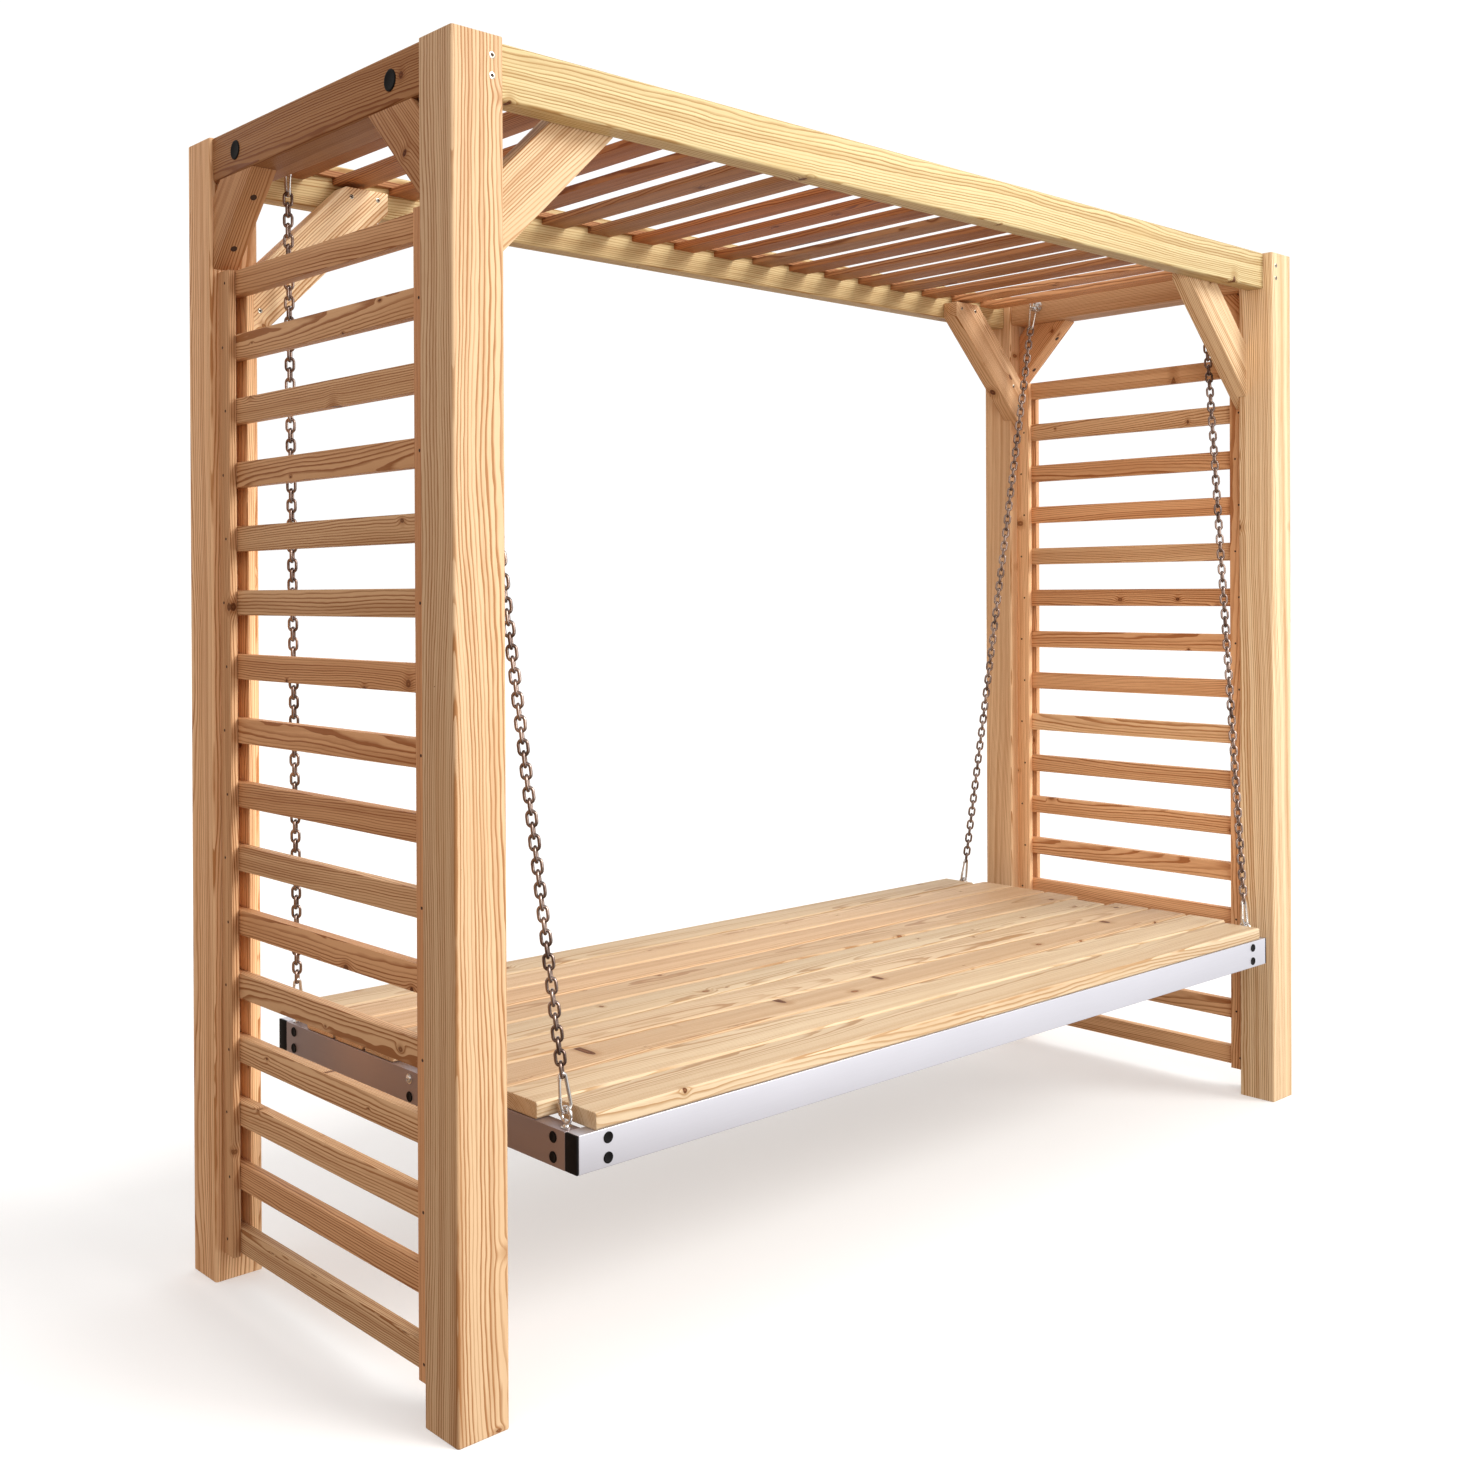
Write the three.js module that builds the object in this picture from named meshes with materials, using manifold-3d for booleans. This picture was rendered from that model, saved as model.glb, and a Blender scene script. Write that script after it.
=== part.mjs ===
// Porch swing: a timber pavilion of four posts whose side beams carry a slatted day bed on four chains.
// Units are millimetres. X runs along the bed, -Y is the open front, +Z is up.
// The origin is the centre of the footprint, on the ground.
import * as THREE from 'three';
import { mergeVertices } from 'three/addons/utils/BufferGeometryUtils.js';
import Module from 'manifold-3d';

const wasm = await Module();
wasm.setup();

// ---------------------------------------------------------------- driving dimensions

const GAP = 0.3; // between pieces that touch

const FRAME_LENGTH = 2400;
const FRAME_DEPTH = 880;
const FRAME_HEIGHT = 2058;
const POST = 90;
const EASED_EDGE = 3; // chamfer on the timber's long edges

const LONG_BEAM_THICK = 45;
const LONG_BEAM_HIGH = 86;
const SIDE_BEAM_THICK = 80;
const SIDE_BEAM_HIGH = 80;
const SIDE_BEAM_SETBACK = 6; // from the posts' outer faces

const BRACE_THICK = 45;
const BRACE_WIDE = 90;
const LONG_BRACE_LEG = 258; // along the post's face and along the beam, at the inner corner
const LONG_BRACE_RISE = 38; // how far it runs up behind the beam
const SIDE_BRACE_LEG = 156;

const SLAT_COUNT = 16;
const SLAT_THICK = 20;
const SLAT_HIGH = 44.5;
const SLAT_PITCH = 114.3;
const SCREEN_TOP = 1817;
const BATTEN_THICK = 14;
const BATTEN_WIDE = 40;
const SCREEN_SETBACK = 15; // from the posts' outer faces to the outer battens
const BATTEN_OVERHANG = 6; // of the battens below the lowest slat
const BITE = 0.5; // how far battens and strips sink into the boards that they are joined to

const ROOF_BOARD_COUNT = 18;
const ROOF_BOARD_WIDE = 62;
const ROOF_BOARD_THICK = 13;
const ROOF_BOARD_PITCH = 122;
const ROOF_UNDERSIDE = 2019;
const ROOF_STRIP = 12; // square strip along each end of the boards, on top

const BED_LENGTH = 2024;
const BED_DEPTH = 952;
const BED_UNDERSIDE = 359;
const RAIL_WIDE = 30;
const RAIL_HIGH = 60;
const TUBE_WALL = 2.5;
const END_CAP_THICK = 4;
const CROSS_BAR_HIGH = 30;
const CROSS_BAR_OFFSET = 340;
const BOARD_COUNT = 9;
const BOARD_WIDE = 98;
const BOARD_THICK = 27;
const BOARD_END_SETBACK = 3; // of the full-length boards, from the rails' ends
const SHORT_BOARD_SETBACK = 37; // of the boards that leave room for the bolts
const FRONT_BOARD_RIGHT_SETBACK = 30;

const ROD = 6; // steel of the eye bolts, snap hooks and chain
const EYE_OUTER_RADIUS = 15;
const TOP_EYE_X = 1095;
const TOP_EYE_Y = 261;
const TOP_EYE_Z = 2018;
const LOW_EYE_X = 997;
const LOW_EYE_Y = 430;
const LOW_EYE_STAND = 19; // eye centre above the end rail
const HOOK_LENGTH = 64;
const HOOK_WIDE_RADIUS = 13;
const HOOK_NARROW_RADIUS = 9;
const HOOK_PLAY = 0.8; // between a hook and its eye
const LINK_OUTER_WIDE = 20;
const LINK_SPREAD = Math.PI / 4; // the links stand at 45 degrees to the frame
const CHAIN_BITE = 7; // how far the chain reaches into each hook

const EYE_SEGMENTS = 16;
const ROD_SEGMENTS = 8;
const HOOK_STEPS = 20;
const SHANK_SINK = 4; // how far an eye bolt's shank runs into its ring's steel
const SAME_POINT = 1e-4; // vertices closer than this are one

// ---------------------------------------------------------------- materials

const paint = (color, roughness, metalness = 0) => (
  new THREE.MeshStandardMaterial({ color, roughness, metalness })
);
const larch = () => paint(0xc08a5a, 0.6);
const larchLight = () => paint(0xd6ac7c, 0.6);
const aluminium = () => paint(0xd4d4dc, 0.35, 0.8);
const blackPlastic = () => paint(0x1a1a1c, 0.5);
const galvanised = () => paint(0xa8a8aa, 0.35, 0.9);

// ---------------------------------------------------------------- geometry helpers

function toSolid(geometry) {
  const bare = geometry.clone();
  bare.deleteAttribute('normal');
  bare.deleteAttribute('uv');
  const merged = mergeVertices(bare, SAME_POINT);
  const vertProperties = new Float32Array(merged.attributes.position.array);
  const triVerts = new Uint32Array(merged.index.array);
  return new wasm.Manifold(new wasm.Mesh({ numProp: 3, vertProperties, triVerts }));
}

function toGeometry(solid) {
  const mesh = solid.getMesh();
  const geometry = new THREE.BufferGeometry();
  geometry.setAttribute('position', new THREE.BufferAttribute(new Float32Array(mesh.vertProperties), 3));
  geometry.setIndex(new THREE.BufferAttribute(new Uint32Array(mesh.triVerts), 1));
  geometry.computeVertexNormals();
  return geometry;
}

function joined(geometries) {
  return toGeometry(geometries.map(toSolid).reduce((whole, piece) => whole.add(piece)));
}

function cut(geometry, tool) {
  return toGeometry(toSolid(geometry).subtract(toSolid(tool)));
}

// A box given by its low and high corners.
function block(low, high) {
  const size = high.map((value, axis) => value - low[axis]);
  const middle = high.map((value, axis) => (value + low[axis]) / 2);
  return new THREE.BoxGeometry(...size).translate(...middle);
}

// A timber of the given size with eased long edges, centred on the origin, running along one axis.
function timber(length, across, up, axis) {
  const [a, b] = [across / 2, up / 2];
  const e = EASED_EDGE;
  const section = new THREE.Shape([
    new THREE.Vector2(-a + e, -b),
    new THREE.Vector2(a - e, -b),
    new THREE.Vector2(a, -b + e),
    new THREE.Vector2(a, b - e),
    new THREE.Vector2(a - e, b),
    new THREE.Vector2(-a + e, b),
    new THREE.Vector2(-a, b - e),
    new THREE.Vector2(-a, -b + e),
  ]);
  const geometry = new THREE.ExtrudeGeometry(section, { depth: length, bevelEnabled: false });
  geometry.translate(0, 0, -length / 2);
  if (axis === 'x') {
    geometry.rotateX(Math.PI / 2).rotateZ(Math.PI / 2);
  }
  if (axis === 'y') {
    geometry.rotateX(Math.PI / 2);
  }
  return geometry;
}

// A rectangular tube open at both ends, centred on the origin, running along X or Y.
function tube(length, high, axis) {
  const outline = rectangle(RAIL_WIDE, high);
  outline.holes.push(rectangle(RAIL_WIDE - 2 * TUBE_WALL, high - 2 * TUBE_WALL));
  const geometry = new THREE.ExtrudeGeometry(outline, { depth: length, bevelEnabled: false });
  geometry.translate(0, 0, -length / 2).rotateX(Math.PI / 2);
  return axis === 'x' ? geometry.rotateZ(Math.PI / 2) : geometry;
}

function rectangle(wide, high) {
  return new THREE.Shape([
    new THREE.Vector2(-wide / 2, -high / 2),
    new THREE.Vector2(wide / 2, -high / 2),
    new THREE.Vector2(wide / 2, high / 2),
    new THREE.Vector2(-wide / 2, high / 2),
  ]);
}

// A flat outline drawn in (across, up), extruded through its thickness between two depths.
function plate(points, from, to, plane) {
  const outline = new THREE.Shape(points.map(([across, up]) => new THREE.Vector2(across, up)));
  const geometry = new THREE.ExtrudeGeometry(outline, { depth: to - from, bevelEnabled: false });
  if (plane === 'xz') {
    return geometry.rotateX(Math.PI / 2).translate(0, to, 0);
  }
  return geometry.rotateX(Math.PI / 2).rotateZ(Math.PI / 2).translate(from, 0, 0);
}

// The same geometry mirrored into another quarter of the frame.
function mirrored(geometry, signX, signY) {
  const copy = geometry.clone().scale(signX, signY, 1);
  if (signX * signY < 0) {
    const index = copy.index ?? indexOf(copy);
    for (let i = 0; i < index.count; i += 3) {
      const [second, third] = [index.getX(i + 1), index.getX(i + 2)];
      index.setX(i + 1, third);
      index.setX(i + 2, second);
    }
    copy.setIndex(index);
    copy.computeVertexNormals();
  }
  return copy;
}

function indexOf(geometry) {
  const order = Uint32Array.from({ length: geometry.attributes.position.count }, (_, i) => i);
  return new THREE.BufferAttribute(order, 1);
}

// ---------------------------------------------------------------- derived places

const halfLength = FRAME_LENGTH / 2;
const halfDepth = FRAME_DEPTH / 2;
const postX = halfLength - POST / 2;
const postY = halfDepth - POST / 2;
const postInnerX = halfLength - POST;
const postInnerY = halfDepth - POST;
const longBeamInnerY = postY - LONG_BEAM_THICK / 2;
const longBeamUnderside = FRAME_HEIGHT - LONG_BEAM_HIGH;
const sideBeamUnderside = FRAME_HEIGHT - SIDE_BEAM_HIGH;
const sideBeamInnerX = halfLength - SIDE_BEAM_SETBACK - SIDE_BEAM_THICK;
const slatOuterX = halfLength - SCREEN_SETBACK - BATTEN_THICK;
const slatInnerX = slatOuterX - SLAT_THICK;
const battenInnerX = slatInnerX - GAP - BATTEN_THICK;
const lowestSlatUnderside = SCREEN_TOP - (SLAT_COUNT - 1) * SLAT_PITCH - SLAT_HIGH;
const battenUnderside = lowestSlatUnderside - BATTEN_OVERHANG;
const bedTop = BED_UNDERSIDE + RAIL_HIGH;
const bedHalfLength = BED_LENGTH / 2;
const bedHalfDepth = BED_DEPTH / 2;
const corners = [
  ['front_left', -1, -1],
  ['front_right', 1, -1],
  ['rear_left', -1, 1],
  ['rear_right', 1, 1],
];
const sides = [
  ['left', -1],
  ['right', 1],
];

const group = new THREE.Group();

function addPiece(name, geometry, material) {
  const mesh = new THREE.Mesh(geometry, material);
  mesh.name = name;
  group.add(mesh);
  return mesh;
}

// ---------------------------------------------------------------- posts and beams

for (const [name, signX, signY] of corners) {
  const post = addPiece(`post_${name}`, timber(FRAME_HEIGHT, POST, POST, 'z'), larch());
  post.position.set(signX * postX, signY * postY, FRAME_HEIGHT / 2);
}

for (const [name, signY] of [['front', -1], ['rear', 1]]) {
  const length = 2 * (postInnerX - GAP);
  const beam = addPiece(`${name}_beam`, timber(length, LONG_BEAM_THICK, LONG_BEAM_HIGH, 'x'), larch());
  beam.position.set(0, signY * postY, FRAME_HEIGHT - LONG_BEAM_HIGH / 2);
}

for (const [name, signX] of sides) {
  const length = 2 * (postInnerY - GAP);
  const beam = addPiece(`${name}_beam`, timber(length, SIDE_BEAM_THICK, SIDE_BEAM_HIGH, 'y'), larch());
  beam.position.set(signX * (sideBeamInnerX + SIDE_BEAM_THICK / 2), 0, FRAME_HEIGHT - SIDE_BEAM_HIGH / 2);
}

// ---------------------------------------------------------------- knee braces

const braceSpan = BRACE_WIDE * Math.SQRT2; // the brace's width measured level

// Braces in the long direction lie against the beam's inner face and are notched round the post.
function longBrace() {
  const lower = postInnerX + longBeamUnderside - LONG_BRACE_LEG; // x + z along the lower edge
  const upper = lower + braceSpan;
  const endX = battenInnerX - GAP;
  const topZ = longBeamUnderside + LONG_BRACE_RISE;
  const startX = lower - longBeamUnderside;
  const outline = [
    [startX, longBeamUnderside],
    [endX, lower - endX],
    [endX, upper - endX],
    [upper - topZ, topZ],
    [startX, topZ],
  ];
  const from = longBeamInnerY - GAP - BRACE_THICK;
  const to = longBeamInnerY - GAP;
  const notch = block(
    [postInnerX - GAP, postInnerY - GAP, 0],
    [halfLength, halfDepth, FRAME_HEIGHT],
  );
  return cut(plate(outline, from, to, 'xz'), notch);
}

// Braces in the short direction run from the post to the side beam's underside, mitred at both ends.
function sideBrace() {
  const headZ = sideBeamUnderside - GAP;
  const backY = postInnerY - GAP;
  const lower = postInnerY + sideBeamUnderside - SIDE_BRACE_LEG; // y + z along the lower edge
  const upper = lower + braceSpan;
  const outline = [
    [lower - headZ, headZ],
    [backY, lower - backY],
    [backY, upper - backY],
    [upper - headZ, headZ],
  ];
  const outerX = halfLength - SIDE_BEAM_SETBACK;
  return plate(outline, outerX - BRACE_THICK, outerX, 'yz');
}

const longBraceShape = longBrace();
const sideBraceShape = sideBrace();
for (const [name, signX, signY] of corners) {
  addPiece(`long_brace_${name}`, mirrored(longBraceShape, signX, signY), larch());
  addPiece(`side_brace_${name}`, mirrored(sideBraceShape, signX, signY), larch());
}

// ---------------------------------------------------------------- side screens

// The sixteen slats and the two outer battens that they are screwed to are one grille.
function screen() {
  const endY = postInnerY - GAP;
  const pieces = [];
  for (let i = 0; i < SLAT_COUNT; i += 1) {
    const top = SCREEN_TOP - i * SLAT_PITCH;
    pieces.push(block([slatInnerX, -endY, top - SLAT_HIGH], [slatOuterX, endY, top]));
  }
  for (const signY of [-1, 1]) {
    const ends = [signY * endY, signY * (endY - BATTEN_WIDE)].sort((a, b) => a - b);
    const low = [slatOuterX - BITE, ends[0], battenUnderside];
    pieces.push(block(low, [slatOuterX + BATTEN_THICK, ends[1], SCREEN_TOP]));
  }
  return joined(pieces);
}

const screenShape = screen();
for (const [name, signX] of sides) {
  addPiece(`${name}_screen`, mirrored(screenShape, signX, 1), larch());
}

for (const [name, signX, signY] of corners) {
  const length = SCREEN_TOP - battenUnderside;
  const batten = addPiece(
    `inner_batten_${name}`,
    new THREE.BoxGeometry(BATTEN_THICK, BATTEN_WIDE, length),
    larch(),
  );
  const middleY = postInnerY - GAP - BATTEN_WIDE / 2;
  batten.position.set(signX * (battenInnerX + BATTEN_THICK / 2), signY * middleY, battenUnderside + length / 2);
}

// ---------------------------------------------------------------- roof boards

// The boards run from front to rear, and a hidden strip along each end joins them.
function roof() {
  const endY = longBeamInnerY - GAP;
  const pieces = [];
  const firstX = -(ROOF_BOARD_COUNT - 1) / 2 * ROOF_BOARD_PITCH;
  const top = ROOF_UNDERSIDE + ROOF_BOARD_THICK;
  for (let i = 0; i < ROOF_BOARD_COUNT; i += 1) {
    const x = firstX + i * ROOF_BOARD_PITCH;
    pieces.push(block(
      [x - ROOF_BOARD_WIDE / 2, -endY, ROOF_UNDERSIDE],
      [x + ROOF_BOARD_WIDE / 2, endY, top],
    ));
  }
  const stripEndX = -firstX + ROOF_BOARD_WIDE / 2;
  for (const signY of [-1, 1]) {
    const ends = [signY * endY, signY * (endY - ROOF_STRIP)].sort((a, b) => a - b);
    pieces.push(block([-stripEndX, ends[0], top - BITE], [stripEndX, ends[1], top + ROOF_STRIP]));
  }
  return joined(pieces);
}

addPiece('roof_boards', roof(), larch());

// ---------------------------------------------------------------- bed frame

const railMiddleZ = BED_UNDERSIDE + RAIL_HIGH / 2;

for (const [name, signY] of [['front', -1], ['rear', 1]]) {
  const rail = addPiece(
    `bed_${name}_rail`,
    tube(BED_LENGTH - 2 * END_CAP_THICK, RAIL_HIGH, 'x'),
    aluminium(),
  );
  rail.position.set(0, signY * (bedHalfDepth - RAIL_WIDE / 2), railMiddleZ);
}

const insideDepth = BED_DEPTH - 2 * RAIL_WIDE;
for (const [name, signX] of sides) {
  const rail = addPiece(
    `bed_${name}_rail`,
    tube(insideDepth - 2 * GAP, RAIL_HIGH, 'y'),
    aluminium(),
  );
  rail.position.set(signX * (bedHalfLength - RAIL_WIDE / 2), 0, railMiddleZ);
}

const centreRail = addPiece(
  'bed_centre_rail',
  tube(BED_LENGTH - 2 * RAIL_WIDE - 2 * GAP, RAIL_HIGH, 'x'),
  aluminium(),
);
centreRail.position.set(0, 0, railMiddleZ);

const crossBarLength = (insideDepth - RAIL_WIDE) / 2 - 2 * GAP;
for (const [name, signX, signY] of corners) {
  const bar = addPiece(
    `cross_bar_${name}`,
    tube(crossBarLength, CROSS_BAR_HIGH, 'y'),
    aluminium(),
  );
  const middleY = RAIL_WIDE / 2 + GAP + crossBarLength / 2;
  bar.position.set(signX * CROSS_BAR_OFFSET, signY * middleY, bedTop - CROSS_BAR_HIGH / 2);
}

for (const [name, signX, signY] of corners) {
  const cap = addPiece(
    `rail_cap_${name}`,
    new THREE.BoxGeometry(END_CAP_THICK - GAP, RAIL_WIDE, RAIL_HIGH),
    blackPlastic(),
  );
  const middleX = bedHalfLength - (END_CAP_THICK - GAP) / 2;
  cap.position.set(signX * middleX, signY * (bedHalfDepth - RAIL_WIDE / 2), railMiddleZ);
}

// ---------------------------------------------------------------- deck boards

const boardPitch = (BED_DEPTH - BOARD_WIDE) / (BOARD_COUNT - 1);
const middleBoard = (BOARD_COUNT - 1) / 2;
for (let i = 0; i < BOARD_COUNT; i += 1) {
  const isShort = i === 0 || i === middleBoard || i === BOARD_COUNT - 1;
  const leftSetback = isShort ? SHORT_BOARD_SETBACK : BOARD_END_SETBACK;
  const rightSetback = i === 0 ? FRONT_BOARD_RIGHT_SETBACK : leftSetback;
  const lowX = -bedHalfLength + leftSetback;
  const highX = bedHalfLength - rightSetback;
  const board = addPiece(
    `deck_board_${i + 1}`,
    timber(highX - lowX, BOARD_WIDE, BOARD_THICK, 'x'),
    larchLight(),
  );
  const y = -bedHalfDepth + BOARD_WIDE / 2 + i * boardPitch;
  board.position.set((lowX + highX) / 2, y, bedTop + GAP + BOARD_THICK / 2);
}

// ---------------------------------------------------------------- eye bolts

// A ring with its shank: the ring's centre is the origin, and the shank leaves along -Z.
function eyeBolt(shankLength) {
  const ringRadius = EYE_OUTER_RADIUS - ROD / 2;
  const ring = new THREE.TorusGeometry(ringRadius, ROD / 2, ROD_SEGMENTS, EYE_SEGMENTS);
  ring.rotateX(Math.PI / 2);
  const length = shankLength - EYE_OUTER_RADIUS + SHANK_SINK;
  const shank = new THREE.CylinderGeometry(ROD / 2, ROD / 2, length, ROD_SEGMENTS);
  shank.rotateX(Math.PI / 2);
  shank.translate(0, 0, -(shankLength + EYE_OUTER_RADIUS - SHANK_SINK) / 2);
  return joined([ring, shank]);
}

for (const [name, signX, signY] of corners) {
  const bolt = addPiece(`top_eye_${name}`, eyeBolt(sideBeamInnerX - TOP_EYE_X - GAP), galvanised());
  bolt.rotation.set(0, -signX * Math.PI / 2, 0);
  bolt.position.set(signX * TOP_EYE_X, signY * TOP_EYE_Y, TOP_EYE_Z);
}

for (const [name, signX, signY] of corners) {
  const bolt = addPiece(`low_eye_${name}`, eyeBolt(LOW_EYE_STAND - GAP), galvanised());
  bolt.rotation.set(0, 0, Math.PI / 2);
  bolt.position.set(signX * LOW_EYE_X, signY * LOW_EYE_Y, bedTop + LOW_EYE_STAND);
}

// ---------------------------------------------------------------- chains

// A pear-shaped closed hook in the XZ plane: its wide end is at the origin's side, its length runs along +Z.
function snapHook() {
  const wide = HOOK_WIDE_RADIUS - ROD / 2;
  const narrow = HOOK_NARROW_RADIUS - ROD / 2;
  const reach = HOOK_LENGTH - HOOK_WIDE_RADIUS - HOOK_NARROW_RADIUS;
  const lean = Math.asin((wide - narrow) / reach);
  const points = [];
  const topZ = HOOK_WIDE_RADIUS + reach;
  for (let i = 0; i < HOOK_STEPS / 2; i += 1) {
    const turn = Math.PI + lean + i / (HOOK_STEPS / 2 - 1) * (Math.PI - 2 * lean);
    points.push(new THREE.Vector3(wide * Math.cos(turn), 0, HOOK_WIDE_RADIUS + wide * Math.sin(turn)));
  }
  for (let i = 0; i < HOOK_STEPS / 2; i += 1) {
    const turn = -lean + i / (HOOK_STEPS / 2 - 1) * (Math.PI + 2 * lean);
    points.push(new THREE.Vector3(narrow * Math.cos(turn), 0, topZ + narrow * Math.sin(turn)));
  }
  return ringThrough(points);
}

// A closed rod through the given points, which lie in the XZ plane.
function ringThrough(points) {
  const count = points.length;
  const positions = [];
  const index = [];
  points.forEach((point, i) => {
    const along = points[(i + 1) % count].clone().sub(points[(i + count - 1) % count]).normalize();
    const across = new THREE.Vector3(along.z, 0, -along.x);
    for (let j = 0; j < ROD_SEGMENTS; j += 1) {
      const turn = j / ROD_SEGMENTS * 2 * Math.PI;
      const vertex = point.clone().addScaledVector(across, Math.cos(turn) * ROD / 2);
      positions.push(vertex.x, vertex.y + Math.sin(turn) * ROD / 2, vertex.z);
      const [next, up] = [(i + 1) % count, (j + 1) % ROD_SEGMENTS];
      const [a, b] = [i * ROD_SEGMENTS + j, i * ROD_SEGMENTS + up];
      const [c, d] = [next * ROD_SEGMENTS + j, next * ROD_SEGMENTS + up];
      index.push(a, b, c, b, d, c);
    }
  });
  const geometry = new THREE.BufferGeometry();
  geometry.setAttribute('position', new THREE.BufferAttribute(new Float32Array(positions), 3));
  geometry.setIndex(index);
  return geometry;
}

// The chain hangs from its top eye to the eye on the bed: its links are drawn as one cross-shaped bar.
const ringInner = EYE_OUTER_RADIUS - ROD;
const hangTop = new THREE.Vector3(TOP_EYE_X, TOP_EYE_Y, TOP_EYE_Z - ringInner + HOOK_PLAY);
const hangLow = new THREE.Vector3(LOW_EYE_X, LOW_EYE_Y, bedTop + LOW_EYE_STAND + ringInner - HOOK_PLAY);

function chain() {
  const length = hangTop.distanceTo(hangLow) + 2 * ROD;
  const barLength = length - 2 * (HOOK_LENGTH - CHAIN_BITE);
  const bars = [0, Math.PI / 2].map((turn) => (
    new THREE.BoxGeometry(LINK_OUTER_WIDE, ROD, barLength).rotateZ(LINK_SPREAD + turn)
  ));
  const lowHook = snapHook().translate(0, 0, -length / 2);
  const topHook = snapHook().rotateX(Math.PI).rotateZ(Math.PI / 2).translate(0, 0, length / 2);
  const hanging = joined([...bars, lowHook, topHook]);
  const upward = hangTop.clone().sub(hangLow).normalize();
  const tilt = new THREE.Quaternion().setFromUnitVectors(new THREE.Vector3(0, 0, 1), upward);
  const middle = hangTop.clone().add(hangLow).multiplyScalar(0.5);
  return hanging.applyQuaternion(tilt).translate(middle.x, middle.y, middle.z);
}

const chainShape = chain();
for (const [name, signX, signY] of corners) {
  addPiece(`chain_${name}`, mirrored(chainShape, signX, signY), galvanised());
}

export default group;
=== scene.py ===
import math
import random

import bmesh
import bpy
import numpy as np
from mathutils import Matrix, Vector


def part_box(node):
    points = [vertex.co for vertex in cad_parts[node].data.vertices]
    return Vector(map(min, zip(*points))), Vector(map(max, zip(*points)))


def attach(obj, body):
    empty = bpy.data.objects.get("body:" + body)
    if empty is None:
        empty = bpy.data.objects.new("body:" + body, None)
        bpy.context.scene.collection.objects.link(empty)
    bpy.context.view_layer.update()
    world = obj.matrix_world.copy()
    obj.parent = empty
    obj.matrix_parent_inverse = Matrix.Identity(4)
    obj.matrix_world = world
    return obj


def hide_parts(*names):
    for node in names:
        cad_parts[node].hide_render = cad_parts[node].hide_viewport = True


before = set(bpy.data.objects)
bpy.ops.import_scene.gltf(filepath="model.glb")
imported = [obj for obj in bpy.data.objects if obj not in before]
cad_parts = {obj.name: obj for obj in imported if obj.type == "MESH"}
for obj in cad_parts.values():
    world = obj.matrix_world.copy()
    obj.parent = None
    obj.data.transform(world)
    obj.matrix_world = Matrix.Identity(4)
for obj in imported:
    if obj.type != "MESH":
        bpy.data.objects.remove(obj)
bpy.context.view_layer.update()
MM = 0.001
CORNERS = ("front_left", "front_right", "rear_left", "rear_right")
SIDES = ("left", "right")
ALONG_X = (1, 0, 0)
ALONG_Y = (0, 1, 0)
ALONG_Z = (0, 0, 1)


def sign_x(name):
    return -1 if "left" in name else 1


def sign_y(name):
    return -1 if "front" in name else 1


def side_of(corner):
    return "left" if sign_x(corner) < 0 else "right"


# ---------------------------------------------------------------- camera

EYE = Vector((-2.480, -2.437, 1.233))
HEADING = 0.7557  # radians to the right of +Y
PITCH = -0.005
ROLL = -0.004
FOCAL_LENGTH = 39.4
SENSOR_WIDTH = 36.0
SHIFT_X = -0.0123
SHIFT_Y = -0.0923


def make_camera():
    data = bpy.data.cameras.new("camera")
    data.lens = FOCAL_LENGTH
    data.sensor_width = SENSOR_WIDTH
    data.shift_x = SHIFT_X
    data.shift_y = SHIFT_Y
    camera = bpy.data.objects.new("camera", data)
    bpy.context.scene.collection.objects.link(camera)
    level = Matrix.Rotation(-HEADING, 4, "Z") @ Matrix.Rotation(math.pi / 2 + PITCH, 4, "X")
    camera.matrix_world = Matrix.Translation(EYE) @ level @ Matrix.Rotation(ROLL, 4, "Z")
    bpy.context.scene.camera = camera


# ---------------------------------------------------------------- node building

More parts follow.
